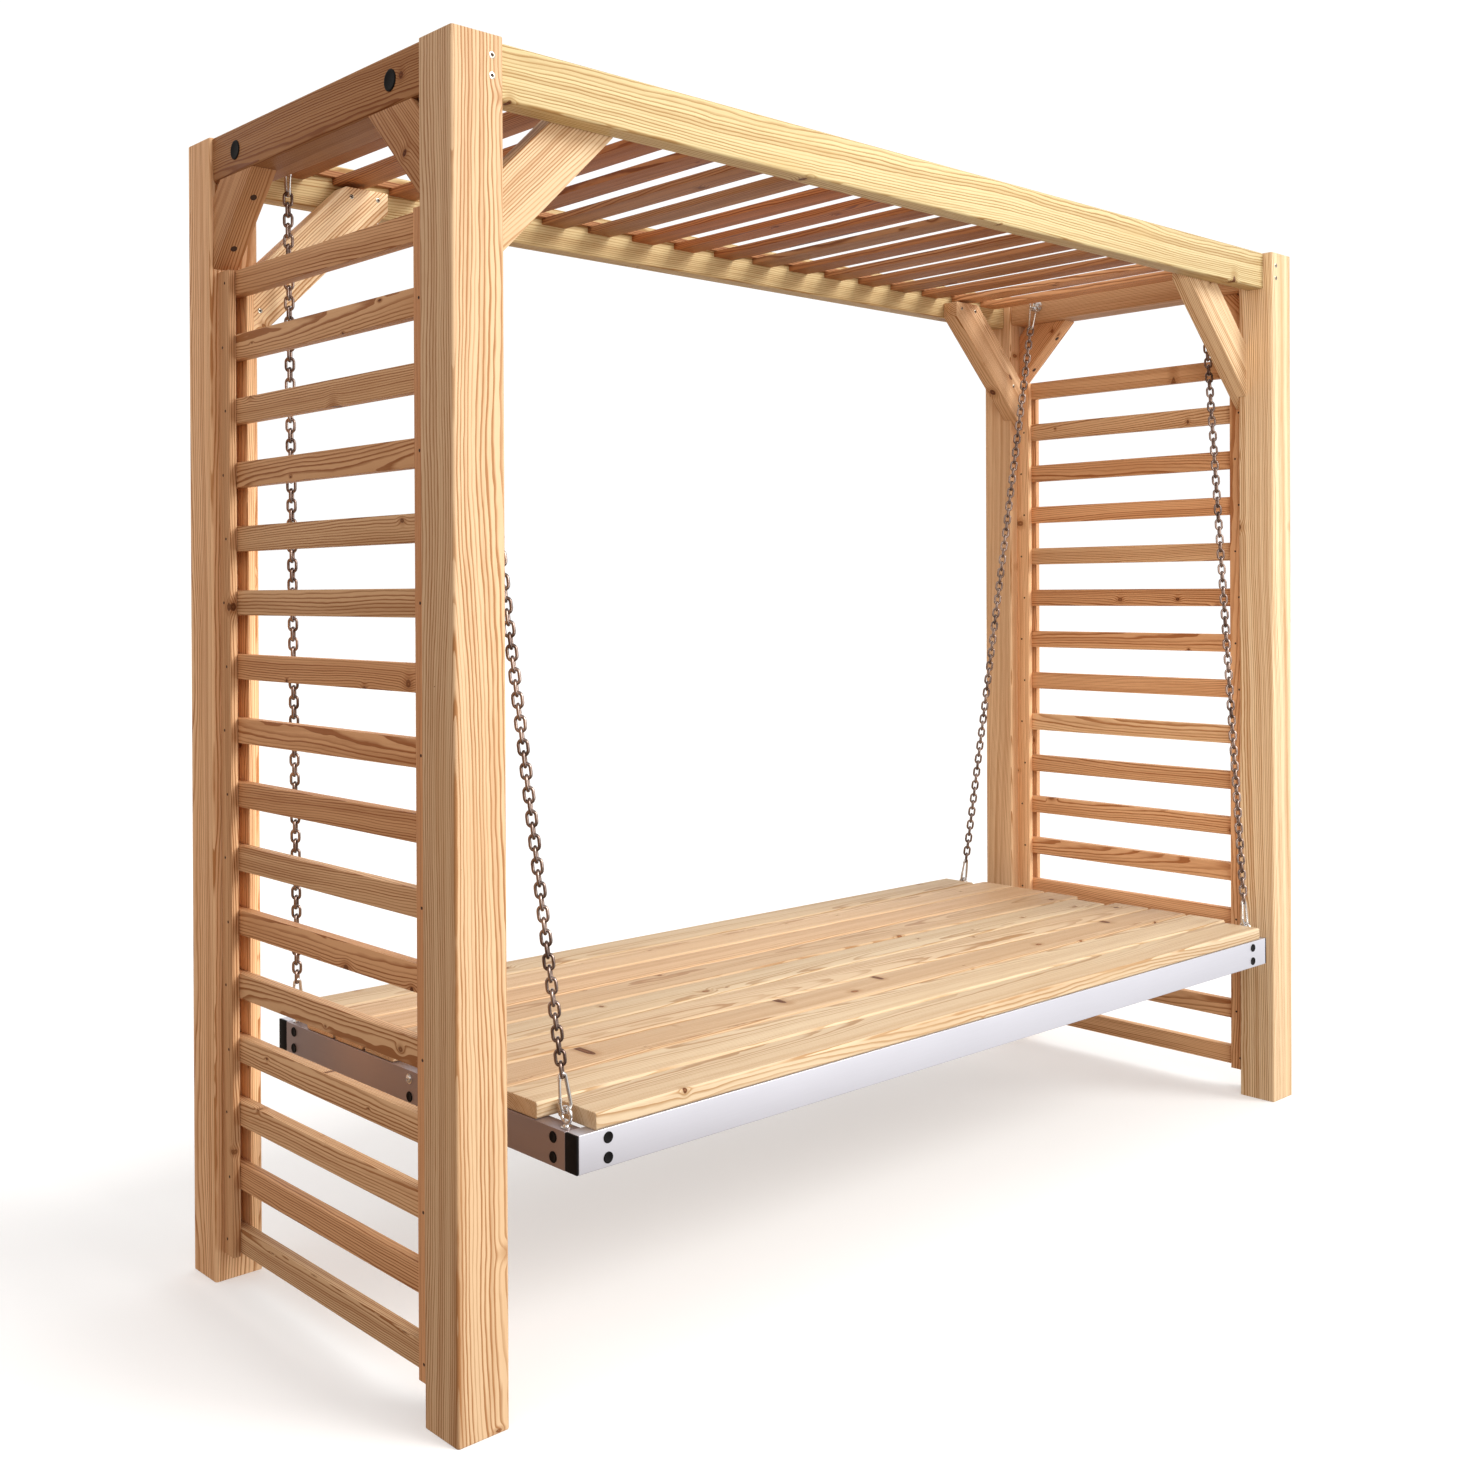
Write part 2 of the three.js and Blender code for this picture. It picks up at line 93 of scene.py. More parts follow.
class Nodes:
    """A short way to write a material's node tree."""

    def __init__(self, material):
        material.use_nodes = True
        self.tree = material.node_tree
        self.tree.nodes.clear()

    def add(self, kind, inputs=None, **settings):
        node = self.tree.nodes.new(kind)
        for key, value in settings.items():
            setattr(node, key, value)
        for key, value in (inputs or {}).items():
            self.put(node.inputs[key], value)
        return node

    def put(self, socket, value):
        if isinstance(value, bpy.types.NodeSocket):
            self.tree.links.new(value, socket)
        else:
            socket.default_value = value

    def math(self, operation, *values, clamp=False):
        node = self.tree.nodes.new("ShaderNodeMath")
        node.operation = operation
        node.use_clamp = clamp
        for socket, value in zip(node.inputs, values):
            self.put(socket, value)
        return node.outputs[0]

    def step(self, value, low, high):
        """Smooth 0 to 1 as the value goes from low to high."""
        node = self.add("ShaderNodeMapRange", interpolation_type="SMOOTHSTEP")
        for socket, amount in zip(node.inputs, (value, low, high, 0.0, 1.0)):
            self.put(socket, amount)
        return node.outputs[0]

    def mix(self, factor, first, second, blend="MIX"):
        node = self.add("ShaderNodeMix", data_type="RGBA", blend_type=blend)
        self.put(node.inputs[0], factor)
        self.put(node.inputs[6], first)
        self.put(node.inputs[7], second)
        return node.outputs[2]

    def parts(self, vector):
        return self.add("ShaderNodeSeparateXYZ", {"Vector": vector}).outputs

    def shifted(self, value, noise, amount):
        """The value moved by up to half the amount each way, by a noise of 0 to 1."""
        sway = self.math("MULTIPLY", self.math("SUBTRACT", noise, 0.5), amount)
        return self.math("ADD", value, sway)

    def stretched(self, along, across, deep, long_scale, cross_scale):
        """A place in the log scaled by one number along the grain and another across it."""
        across = self.math("MULTIPLY", across, cross_scale)
        deep = self.math("MULTIPLY", deep, cross_scale)
        return self.vector(self.math("MULTIPLY", along, long_scale), across, deep)

    def vector(self, x, y, z):
        return self.add("ShaderNodeCombineXYZ", {"X": x, "Y": y, "Z": z}).outputs[0]

    def noise(self, vector, scale, detail=2.0, roughness=0.5):
        settings = {"Vector": vector, "Scale": scale, "Detail": detail, "Roughness": roughness}
        return self.add("ShaderNodeTexNoise", settings)

    def surface(self, color, roughness, bump=None, **fixed):
        shader = self.add("ShaderNodeBsdfPrincipled", {"Base Color": color, "Roughness": roughness})
        for name, value in fixed.items():
            shader.inputs[name.replace("_", " ")].default_value = value
        if bump is not None:
            shader_bump = self.add("ShaderNodeBump", {"Height": bump[0], "Distance": bump[1]})
            self.put(shader_bump.inputs["Strength"], bump[2])
            self.put(shader.inputs["Normal"], shader_bump.outputs[0])
        out = self.add("ShaderNodeOutputMaterial")
        self.tree.links.new(shader.outputs[0], out.inputs["Surface"])


def rgb(red, green, blue):
    return (red, green, blue, 1.0)


# ---------------------------------------------------------------- larch

RING = 3.6 * MM  # mean width of a growth ring
TRUNK_BEND = (24 * MM, 20 * MM)  # how far the pith strays sideways, across and deep
WAVER = 3.4 * MM  # how far the rings stray in a short length
RING_DRIFT = 6.0  # how many rings the slow noise adds or takes away, in all
SPELL_SCALE = 0.24  # how fast spells of dark and pale years follow each other, per ring
KNOT_CELL = 155 * MM  # about one knot in each cell of this size along the log
KNOT_SHELL = 90 * MM  # distance from the pith at which the cells are square
SMALLEST_KNOT = 2.8 * MM
KNOT_SPREAD = 6.5 * MM  # the largest knot is larger than the smallest by this radius
KNOT_WAVER = 3 * MM  # how uneven a knot's outline is
KNOT_PUSH = 0.9  # how far a knot pushes the rings aside, in knot sizes
LIVE_KNOT = ((0.25, 0.105, 0.038), (0.42, 0.20, 0.080))
DEAD_KNOT = ((0.13, 0.048, 0.018), (0.25, 0.105, 0.040))
BARK = (0.075, 0.027, 0.011)
COOL_TINT = (0.98, 1.01, 1.09)
WARM_TINT = (1.0, 0.69, 0.53)

# noise scales along the grain and across it
BEND_SCALE = (1.4, 5.0)
WAVER_SCALE = (11.0, 46.0)
FIBRE_SCALE = (11.0, 520.0)
STREAK_SCALE = (1.5, 78.0)
PATCH_SCALE = (2.4, 12.0)

# how much each of them darkens the wood at full contrast
SUMMER_DARK = 1.35
SPELL_DARK = 1.3
STREAK_DARK = 1.20
FIBRE_DARK = 0.50
BASE_DARK = 0.05

GRAIN_RELIEF = 0.6 * MM
GRAIN_RELIEF_STRENGTH = 0.6


def larch(name, early, late, heart, contrast=1.0):
    """Sawn larch: growth rings round the pith, knots that spread from it, fibres and colour drift.

    Every board carries its own place in the log as the vertex attribute "log" (along, and two across
    the pith), and its own tone, warmth and knottiness as "tint".
    """
    material = bpy.data.materials.new(name)
    n = Nodes(material)
    log = n.add("ShaderNodeAttribute", attribute_name="log").outputs["Vector"]
    along, across, deep = n.parts(log)
    tone, warmth, knotty = n.parts(n.add("ShaderNodeAttribute", attribute_name="tint").outputs["Vector"])

    # the trunk bends slowly, and its rings waver
    bend = n.noise(n.stretched(along, across, deep, *BEND_SCALE), 1.0, 1.0).outputs["Color"]
    waver = n.noise(n.stretched(along, across, deep, *WAVER_SCALE), 1.0, 2.0).outputs["Color"]
    bend_across, bend_deep, bend_width = n.parts(bend)
    waver_across, waver_deep, waver_width = n.parts(waver)
    across = n.shifted(n.shifted(across, bend_across, TRUNK_BEND[0]), waver_across, WAVER)
    deep = n.shifted(n.shifted(deep, bend_deep, TRUNK_BEND[1]), waver_deep, WAVER)
    squares = n.math("ADD", n.math("MULTIPLY", across, across), n.math("MULTIPLY", deep, deep))
    radius = n.math("SQRT", squares)

    # knots are spots round the trunk, laid out by the turn round its pith and the way along it
    turn = n.math("ARCTAN2", deep, across)
    round_pith = n.math("MULTIPLY", turn, KNOT_SHELL / KNOT_CELL)
    spots = n.vector(n.math("DIVIDE", along, KNOT_CELL), round_pith, 0.0)
    cells = n.add("ShaderNodeTexVoronoi", {"Vector": spots, "Scale": 1.0}, voronoi_dimensions="2D")
    chance_size, chance_kept, chance_color = n.parts(cells.outputs["Color"])
    kept = n.math("GREATER_THAN", chance_kept, n.math("MULTIPLY_ADD", knotty, 0.40, 0.30))
    size = n.math("MULTIPLY", chance_size, chance_size)
    knot_size = n.math("MULTIPLY", kept, n.math("MULTIPLY_ADD", size, KNOT_SPREAD, SMALLEST_KNOT))
    knot_size = n.math("MAXIMUM", knot_size, 0.01 * MM)
    away = n.math("MULTIPLY", cells.outputs["Distance"], KNOT_CELL)
    ratio = n.math("DIVIDE", n.shifted(away, waver_width, KNOT_WAVER), knot_size)
    knot = n.step(ratio, 1.10, 0.80)
    collar = n.math("MULTIPLY", n.step(ratio, 3.2, 1.0), kept)
    swirl = n.math("EXPONENT", n.math("MULTIPLY", n.math("MULTIPLY", ratio, ratio), -0.20))
    push = n.math("MULTIPLY", swirl, n.math("MULTIPLY", knot_size, KNOT_PUSH))
    radius = n.math("ADD", radius, push)

    # growth rings: pale spring wood darkens slowly to a hard thin line of summer wood
    phase = n.shifted(n.math("DIVIDE", radius, RING), bend_width, RING_DRIFT)
    within = n.math("FRACT", phase)
    year_noise = n.add("ShaderNodeTexWhiteNoise", {"W": n.math("FLOOR", phase)}, noise_dimensions="1D")
    year = year_noise.outputs["Value"]
    summer = n.math("MULTIPLY", n.step(within, 0.42, 0.92), n.step(within, 1.0, 0.94))
    summer = n.math("MULTIPLY", summer, n.math("MULTIPLY_ADD", year, 0.95, 0.40))
    slow = {"W": n.math("MULTIPLY", phase, SPELL_SCALE), "Scale": 1.0, "Detail": 1.0}
    spell = n.add("ShaderNodeTexNoise", slow, noise_dimensions="1D").outputs["Fac"]

    fibre = n.noise(n.stretched(along, across, deep, *FIBRE_SCALE), 1.0, 2.0, 0.6).outputs["Fac"]
    streak = n.noise(n.stretched(along, across, deep, *STREAK_SCALE), 1.0, 3.0, 0.6).outputs["Fac"]
    patch = n.noise(n.stretched(along, across, deep, *PATCH_SCALE), 1.0, 3.0).outputs["Fac"]

    dark = n.math("MULTIPLY", summer, SUMMER_DARK * contrast)
    dark = n.shifted(dark, spell, SPELL_DARK * contrast)
    dark = n.shifted(dark, streak, STREAK_DARK * contrast)
    dark = n.math("ADD", n.shifted(dark, fibre, FIBRE_DARK * contrast), BASE_DARK, clamp=True)
    color = n.mix(dark, rgb(*early), rgb(*late))
    color = n.mix(n.math("MULTIPLY", n.step(patch, 0.50, 0.78), 0.55), color, rgb(*heart))
    color = n.mix(n.math("MULTIPLY", collar, 0.55), color, rgb(*late))
    knot_rings = n.math("MULTIPLY_ADD", n.math("SINE", n.math("MULTIPLY", ratio, 9.0)), 0.5, 0.5)
    live = n.mix(knot_rings, rgb(*LIVE_KNOT[0]), rgb(*LIVE_KNOT[1]))
    dead = n.mix(knot_rings, rgb(*DEAD_KNOT[0]), rgb(*DEAD_KNOT[1]))
    color = n.mix(knot, color, n.mix(n.step(chance_color, 0.35, 0.70), live, dead))
    bark = n.math("MULTIPLY", n.step(ratio, 0.74, 0.90), knot)
    color = n.mix(n.math("MULTIPLY", bark, 0.75), color, rgb(*BARK))
    color = n.mix(1.0, color, n.mix(warmth, rgb(*COOL_TINT), rgb(*WARM_TINT)), "MULTIPLY")
    color = n.mix(1.0, color, n.vector(tone, tone, tone), "MULTIPLY")

    rough = n.shifted(0.58, fibre, 0.24)
    rough = n.math("SUBTRACT", rough, n.math("MULTIPLY", summer, 0.12))
    height = n.math("ADD", n.math("MULTIPLY", summer, 0.55), n.math("MULTIPLY", fibre, 0.7))
    crack = n.math("MULTIPLY", n.step(ratio, 0.70, 0.98), knot)
    height = n.math("SUBTRACT", height, n.math("MULTIPLY", crack, 1.2))
    bump = (height, GRAIN_RELIEF, GRAIN_RELIEF_STRENGTH)
    n.surface(color, rough, bump=bump, Specular_IOR_Level=0.12)
    return material


# ---------------------------------------------------------------- metals and plastic

def place_of(n, scale):
    """The surface's own place in the frame, in metres, scaled along each axis."""
    spot = n.add("ShaderNodeTexCoord").outputs["Object"]
    return n.add("ShaderNodeMapping", {"Vector": spot, "Scale": scale}).outputs[0]


def anodised(name, shade):
    material = bpy.data.materials.new(name)
    n = Nodes(material)
    brushed = n.noise(place_of(n, (14.0, 14.0, 900.0)), 1.0, 3.0).outputs["Fac"]
    cloud = n.noise(place_of(n, (5.0, 5.0, 18.0)), 1.0, 3.0).outputs["Fac"]
    color = n.mix(cloud, rgb(0.64, 0.64, 0.70), rgb(0.70, 0.70, 0.765))
    color = n.mix(n.math("MULTIPLY", brushed, 0.25), color, rgb(0.58, 0.58, 0.63))
    # the shade colour multiplies the whole finish; the end rails' copy uses it for painted shade and a
    # painted reflection of the brown wood
    color = n.mix(1.0, color, rgb(*shade), "MULTIPLY")
    rough = n.math("MULTIPLY_ADD", brushed, 0.14, n.math("MULTIPLY_ADD", cloud, 0.08, 0.30))
    n.surface(color, rough, bump=(brushed, 0.1 * MM, 0.25), Metallic=0.78)
    return material


def zinc(name, base, worn):
    material = bpy.data.materials.new(name)
    n = Nodes(material)
    spangle = n.noise(place_of(n, (160.0, 160.0, 160.0)), 1.0, 3.0, 0.6).outputs["Fac"]
    stain = n.noise(place_of(n, (22.0, 22.0, 22.0)), 1.0, 3.0).outputs["Fac"]
    color = n.mix(n.step(stain, 0.35, 0.72), rgb(*base), rgb(*worn))
    rough = n.math("MULTIPLY_ADD", spangle, 0.20, 0.12)
    n.surface(color, rough, bump=(spangle, 0.2 * MM, 0.25), Metallic=1.0)
    return material


def black_plastic():
    material = bpy.data.materials.new("black_plastic")
    n = Nodes(material)
    leather = n.noise(place_of(n, (700.0, 700.0, 700.0)), 1.0, 2.0).outputs["Fac"]
    dust = n.noise(place_of(n, (45.0, 45.0, 45.0)), 1.0, 4.0).outputs["Fac"]
    color = n.mix(n.step(dust, 0.5, 0.8), rgb(0.005, 0.0045, 0.005), rgb(0.016, 0.014, 0.013))
    rough = n.math("MULTIPLY_ADD", leather, 0.20, 0.45)
    n.surface(color, rough, bump=(leather, 0.1 * MM, 0.35), Specular_IOR_Level=0.10)
    return material


# A dark brown for holes and screw sockets: painted shade inside them.
def painted_hole_shade():
    material = bpy.data.materials.new("painted_hole_shade")
    n = Nodes(material)
    shavings = n.noise(place_of(n, (260.0, 260.0, 260.0)), 1.0, 3.0).outputs["Fac"]
    color = n.mix(shavings, rgb(0.035, 0.016, 0.008), rgb(0.085, 0.040, 0.020))
    n.surface(color, n.math("MULTIPLY_ADD", shavings, 0.2, 0.7))
    return material


LARCH_FRAME = larch("larch_frame", (0.82, 0.615, 0.37), (0.45, 0.230, 0.092), (0.72, 0.48, 0.25), 1.05)
LARCH_BEAM = larch("larch_beam", (0.76, 0.61, 0.315), (0.43, 0.245, 0.085), (0.68, 0.48, 0.21), 0.9)
LARCH_SCREEN = larch("larch_screen", (0.84, 0.555, 0.30), (0.42, 0.185, 0.068), (0.66, 0.38, 0.18))
# A darker copy of the larch for the roof boards: painted shade of their shaded undersides.
LARCH_ROOF_PAINTED_SHADE = larch("larch_roof", (0.52, 0.295, 0.145), (0.24, 0.098, 0.038), (0.40, 0.205, 0.09))
LARCH_DECK = larch("larch_deck", (0.73, 0.570, 0.360), (0.47, 0.28, 0.130), (0.66, 0.475, 0.270), 0.80)
ALUMINIUM = anodised("anodised_aluminium", (1.0, 1.0, 1.0))
# A darker, browner copy for the bed's end rails: painted shade and a painted reflection of the brown wood.
ALUMINIUM_PAINTED_SHADE = anodised("anodised_aluminium_painted_shade", (0.56, 0.46, 0.43))
CHAIN_STEEL = zinc("chain_steel", (0.37, 0.285, 0.25), (0.14, 0.095, 0.08))
SCREW_STEEL = zinc("screw_steel", (0.52, 0.50, 0.43), (0.34, 0.31, 0.25))
BRIGHT_STEEL = zinc("bright_steel", (0.78, 0.77, 0.76), (0.60, 0.58, 0.57))
PLASTIC = black_plastic()
HOLE_SHADE = painted_hole_shade()


# ---------------------------------------------------------------- pieces from meshes

def add_piece(name, mesh, body, materials, nodes=()):
    piece = bpy.data.objects.new(name, mesh)
    bpy.context.scene.collection.objects.link(piece)
    for material in materials:
        mesh.materials.append(material)
    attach(piece, body)
    if nodes:
        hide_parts(*nodes)


def mesh_from(name, bm, smooth_angle=35):
    mesh = bpy.data.meshes.new(name)
    bm.normal_update()
    bm.to_mesh(mesh)
    bm.free()
    mesh.shade_smooth()
    mesh.set_sharp_from_angle(angle=math.radians(smooth_angle))
    return mesh


def round_edges(bm, amount, segments=2, least_angle=20):
    """Breaks every edge where two faces meet at more than the least angle."""
    least = math.radians(least_angle)
    edges = [e for e in bm.edges if len(e.link_faces) == 2 and e.calc_face_angle(0) > least]
    bmesh.ops.bevel(
        bm, geom=edges, offset=amount, segments=segments, profile=0.6, affect="EDGES", clamp_overlap=True
    )


def cad_bmesh(node, edge, segments=2):
    """The CAD node's own shape with clean flat faces and broken edges."""
    bm = bmesh.new()
    bm.from_mesh(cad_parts[node].data)
    bmesh.ops.remove_doubles(bm, verts=bm.verts, dist=0.01 * MM)
    bmesh.ops.dissolve_limit(bm, angle_limit=0.02, verts=bm.verts, edges=bm.edges)
    round_edges(bm, edge, segments)
    return bm


def box_bmesh(low, high, edge):
    bm = bmesh.new()
    bmesh.ops.create_cube(bm, size=1.0)
    size = Vector(high) - Vector(low)
    middle = (Vector(high) + Vector(low)) / 2
    for vertex in bm.verts:
        vertex.co = Vector([vertex.co[i] * size[i] + middle[i] for i in range(3)])
    round_edges(bm, edge)
    return bm


def merged(parts):
    """One bmesh out of many; each part is a bmesh and the face material that it takes."""
    whole = bmesh.new()
    for part, material_index in parts:
        for face in part.faces:
            face.material_index = material_index
        scratch = bpy.data.meshes.new("scratch")
        part.to_mesh(scratch)
        part.free()
        whole.from_mesh(scratch)
        bpy.data.meshes.remove(scratch)
    return whole


# ---------------------------------------------------------------- timber

BOARD_EDGE = 1.8 * MM
SLAT_EDGE = 1.2 * MM
DECK_EDGE = 1.5 * MM

# Tone, warmth and how far each of them strays, by the start of a board's name.
# The longest start that fits counts.
TINTS = {
    "": (0.97, 0.50, 0.09, 0.50),
    "front_beam": (0.96, 0.0, 0, 0),
    "rear_beam": (0.95, 0.15, 0, 0),
    # The left beam is made darker and warmer: painted shade of its shaded left side.
    "left_beam": (0.58, 1.0, 0, 0),
    "post_front_left": (0.92, 0.30, 0, 0),
    "post_front_right": (1.20, 0.0, 0, 0),
    "post_rear_left": (1.20, 0.45, 0, 0),
    "post_rear_right": (1.12, 0.30, 0, 0),
    "long_brace_front_left": (0.95, 0.1, 0, 0),
    "long_brace_front_right": (1.16, 0.0, 0, 0),
    "long_brace_rear_left": (1.30, 0.0, 0, 0),
    # The left side braces are made darker and warmer: painted shade of their shaded left sides.
    "side_brace_front_left": (0.74, 0.8, 0, 0),
    "side_brace_rear_left": (0.82, 0.8, 0, 0),
    "inner_batten_rear": (1.28, 0.10, 0, 0),
    "inner_batten_front_right": (1.10, 0.40, 0, 0),
    "left slat": (0.89, 0.30, 0.08, 0.28),
    "right slat": (1.02, 0.30, 0.12, 0.30),
    "roof board": (0.95, 0.65, 0.12, 0.35),
    # The two roof boards at the right end are made much paler: painted light where more light falls on
    # them.
    "roof board 16": (1.70, 0.1, 0, 0),
    "roof board 17": (1.75, 0.1, 0, 0),
    "right_beam": (0.90, 0.55, 0, 0),
    "deck_board": (0.95, 0.25, 0.09, 0.25),
}


def board_tint(name, pick):
    """A board's tone, warmth and knottiness."""
    label = max((start for start in TINTS if name.startswith(start)), key=len)
    tone, warmth, tone_spread, warmth_spread = TINTS[label]
    tone += pick.uniform(-tone_spread, tone_spread)
    warmth += pick.uniform(-warmth_spread, warmth_spread)
    return (tone, warmth, pick.random())


TRUNK = 90.0  # the length of trunk that the boards are cut from
PITH_ASIDE = (0.4, 1.6)  # how far to one side the pith lies, in steps that grow with thickness
PITH_BELOW = (8 * MM, 60 * MM)  # how far behind a board's face the pith lies
SLOPE_ASIDE = 0.008  # the most that the grain runs off to one side
SLOPE_DEEP = (0.008, 0.018)  # how much it runs out through the face


def log_place(points, along, name, flat):
    """Where each point of a board lay in its log, with the board's tone, warmth and knottiness."""
    pick = random.Random(name)
    along = along.normalized()
    side = Vector((0, 0, 1)) if abs(along.z) < 0.9 else Vector((0, 1, 0))
    wide = along.cross(side).normalized()
    thick = along.cross(wide).normalized()
    if flat == "turned":
        wide, thick = thick, wide
    co = np.array([p[:] for p in points])
    middle = (co.min(0) + co.max(0)) / 2
    co = co - middle
    run = co @ np.array(along)
    across = co @ np.array(wide)
    deep = co @ np.array(thick)
    half = deep.max()
    out = np.zeros_like(co)
    out[:, 0] = run + pick.uniform(0, TRUNK)
    off_side = pick.choice((-1, 1)) * pick.uniform(*PITH_ASIDE) * (35 * MM + half * 1.2)
    out[:, 1] = across + off_side + run * pick.uniform(-SLOPE_ASIDE, SLOPE_ASIDE)
    depth = pick.choice((-1, 1)) * (half + pick.uniform(*PITH_BELOW))
    out[:, 2] = deep + depth + run * pick.choice((-1, 1)) * pick.uniform(*SLOPE_DEEP)
    return out, board_tint(name, pick)


def stamp_log(mesh, log, tint):
    """Writes the board's place in its log and its tint on every vertex."""
    for label, values in (("log", log), ("tint", tint)):
        layer = mesh.attributes.new(label, "FLOAT_VECTOR", "POINT")
        layer.data.foreach_set("vector", np.ascontiguousarray(values, dtype=np.float32).ravel())


def boards_mesh(name, boards, edge):
    """A mesh of several boards: (low corner, high corner, direction of grain, name, flat side) each."""
    parts, logs, tints = [], [], []
    for low, high, along, board_name, flat in boards:
        bm = box_bmesh(low, high, edge)
        points = [v.co.copy() for v in bm.verts]
        log, tint = log_place(points, Vector(along), board_name, flat)
        parts.append((bm, 0))
        logs.append(log)
        tints.append(np.tile(tint, (len(points), 1)))
    mesh = mesh_from(name, merged(parts))
    stamp_log(mesh, np.concatenate(logs), np.concatenate(tints))
    return mesh


def timber_from_node(node, body, material, along, flat="flat", edge=BOARD_EDGE):
    """The CAD node's own shape with broken edges and its place in a log."""
    mesh = mesh_from(node + "_timber", cad_bmesh(node, edge))
    log, tint = log_place([v.co for v in mesh.vertices], Vector(along), node, flat)
    stamp_log(mesh, log, np.tile(tint, (len(log), 1)))
    add_piece(node + "_timber", mesh, body, [material], [node])


def make_frame_timbers():
    for corner in CORNERS:
        timber_from_node("post_" + corner, "frame", LARCH_FRAME, ALONG_Z)
        slope = (-sign_x(corner), 0, 1)
        timber_from_node("long_brace_" + corner, "frame", LARCH_FRAME, slope)
        slope = (0, -sign_y(corner), 1)
        timber_from_node("side_brace_" + corner, "frame", LARCH_FRAME, slope)
        batten = "inner_batten_" + corner
        timber_from_node(batten, "frame", LARCH_SCREEN, ALONG_Z, edge=SLAT_EDGE)
    for end in ("front", "rear"):
        timber_from_node(end + "_beam", "frame", LARCH_BEAM, ALONG_X)
    for side in SIDES:
        timber_from_node(side + "_beam", "frame", LARCH_FRAME, ALONG_Y, "turned")


SLAT_COUNT = 16
SLAT_HIGH = 44.5 * MM
SLAT_PITCH = 114.3 * MM
SLAT_THICK = 20 * MM
OUTER_BATTEN_WIDE = 40 * MM
SLAT_CLEARANCE = 0.2 * MM  # keeps the battens' faces off the slats'


def make_screens():
    for side in SIDES:
        low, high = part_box(side + "_screen")
        s = sign_x(side)
        outer_x = high.x if s > 0 else low.x
        inner_x = low.x if s > 0 else high.x
        slat_x = sorted((inner_x, inner_x + s * SLAT_THICK))
        boards = []
        for i in range(SLAT_COUNT):
            top = high.z - i * SLAT_PITCH
            corners = ((slat_x[0], low.y, top - SLAT_HIGH), (slat_x[1], high.y, top))
            boards.append((*corners, ALONG_Y, f"{side} slat {i}", "turned"))
        batten_x = sorted((inner_x + s * (SLAT_THICK + SLAT_CLEARANCE), outer_x))
        for y in (low.y, high.y - OUTER_BATTEN_WIDE):
            corners = ((batten_x[0], y, low.z), (batten_x[1], y + OUTER_BATTEN_WIDE, high.z))
            boards.append((*corners, ALONG_Z, f"{side} batten {y > 0}", "flat"))
        mesh = boards_mesh(side + "_slats", boards, SLAT_EDGE)
        add_piece(side + "_slats", mesh, "frame", [LARCH_SCREEN], [side + "_screen"])


ROOF_BOARD_COUNT = 18
ROOF_BOARD_WIDE = 62 * MM
ROOF_BOARD_THICK = 13 * MM
ROOF_STRIP = 12 * MM
ROOF_CLEARANCE = 0.1 * MM  # keeps the strips' undersides off the boards


def make_roof():
    low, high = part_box("roof_boards")
    pitch = (high.x - low.x - ROOF_BOARD_WIDE) / (ROOF_BOARD_COUNT - 1)
    boards = []
    for i in range(ROOF_BOARD_COUNT):
        x = low.x + i * pitch
        corners = ((x, low.y, low.z), (x + ROOF_BOARD_WIDE, high.y, low.z + ROOF_BOARD_THICK))
        boards.append((*corners, ALONG_Y, f"roof board {i}", "flat"))
    strip_z = low.z + ROOF_BOARD_THICK + ROOF_CLEARANCE
    for y in (low.y, high.y - ROOF_STRIP):
        corners = ((low.x, y, strip_z), (high.x, y + ROOF_STRIP, high.z))
        boards.append((*corners, ALONG_X, f"roof strip {y > 0}", "flat"))
    mesh = boards_mesh("roof_slats", boards, SLAT_EDGE)
    # the roof boards take the darker larch with painted shade
    add_piece("roof_slats", mesh, "frame", [LARCH_ROOF_PAINTED_SHADE], ["roof_boards"])


DECK_BOARD_COUNT = 9


def make_deck():
    for i in range(DECK_BOARD_COUNT):
        node = f"deck_board_{i + 1}"
        timber_from_node(node, "bed", LARCH_DECK, ALONG_X, edge=DECK_EDGE)


# ---------------------------------------------------------------- bed frame

RAIL_EDGE = 0.9 * MM
CAP_EDGE = 1.4 * MM


def make_rails():
    rails = [f"bed_{part}_rail" for part in ("front", "rear", "left", "right", "centre")]
    rails += ["cross_bar_" + corner for corner in CORNERS]
    for node in rails:
        mesh = mesh_from(node + "_tube", cad_bmesh(node, RAIL_EDGE, 3))
        # the end rails take the copy with painted shade and a painted reflection of the wood
        finish = ALUMINIUM_PAINTED_SHADE if node in ("bed_left_rail", "bed_right_rail") else ALUMINIUM
        add_piece(node + "_tube", mesh, "bed", [finish], [node])
    for corner in CORNERS:
        node = "rail_cap_" + corner
        low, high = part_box(node)
        mesh = mesh_from(node + "_plug", box_bmesh(low, high, CAP_EDGE))
        add_piece(node + "_plug", mesh, "bed", [PLASTIC], [node])


# ---------------------------------------------------------------- round parts

def aim(bm, centre, normal):
    """Turns a part made along +Z to face the normal, and puts it in place."""
    turn = Vector((0, 0, 1)).rotation_difference(Vector(normal)).to_matrix().to_4x4()
    bm.transform(Matrix.Translation(Vector(centre)) @ turn)
    return bm


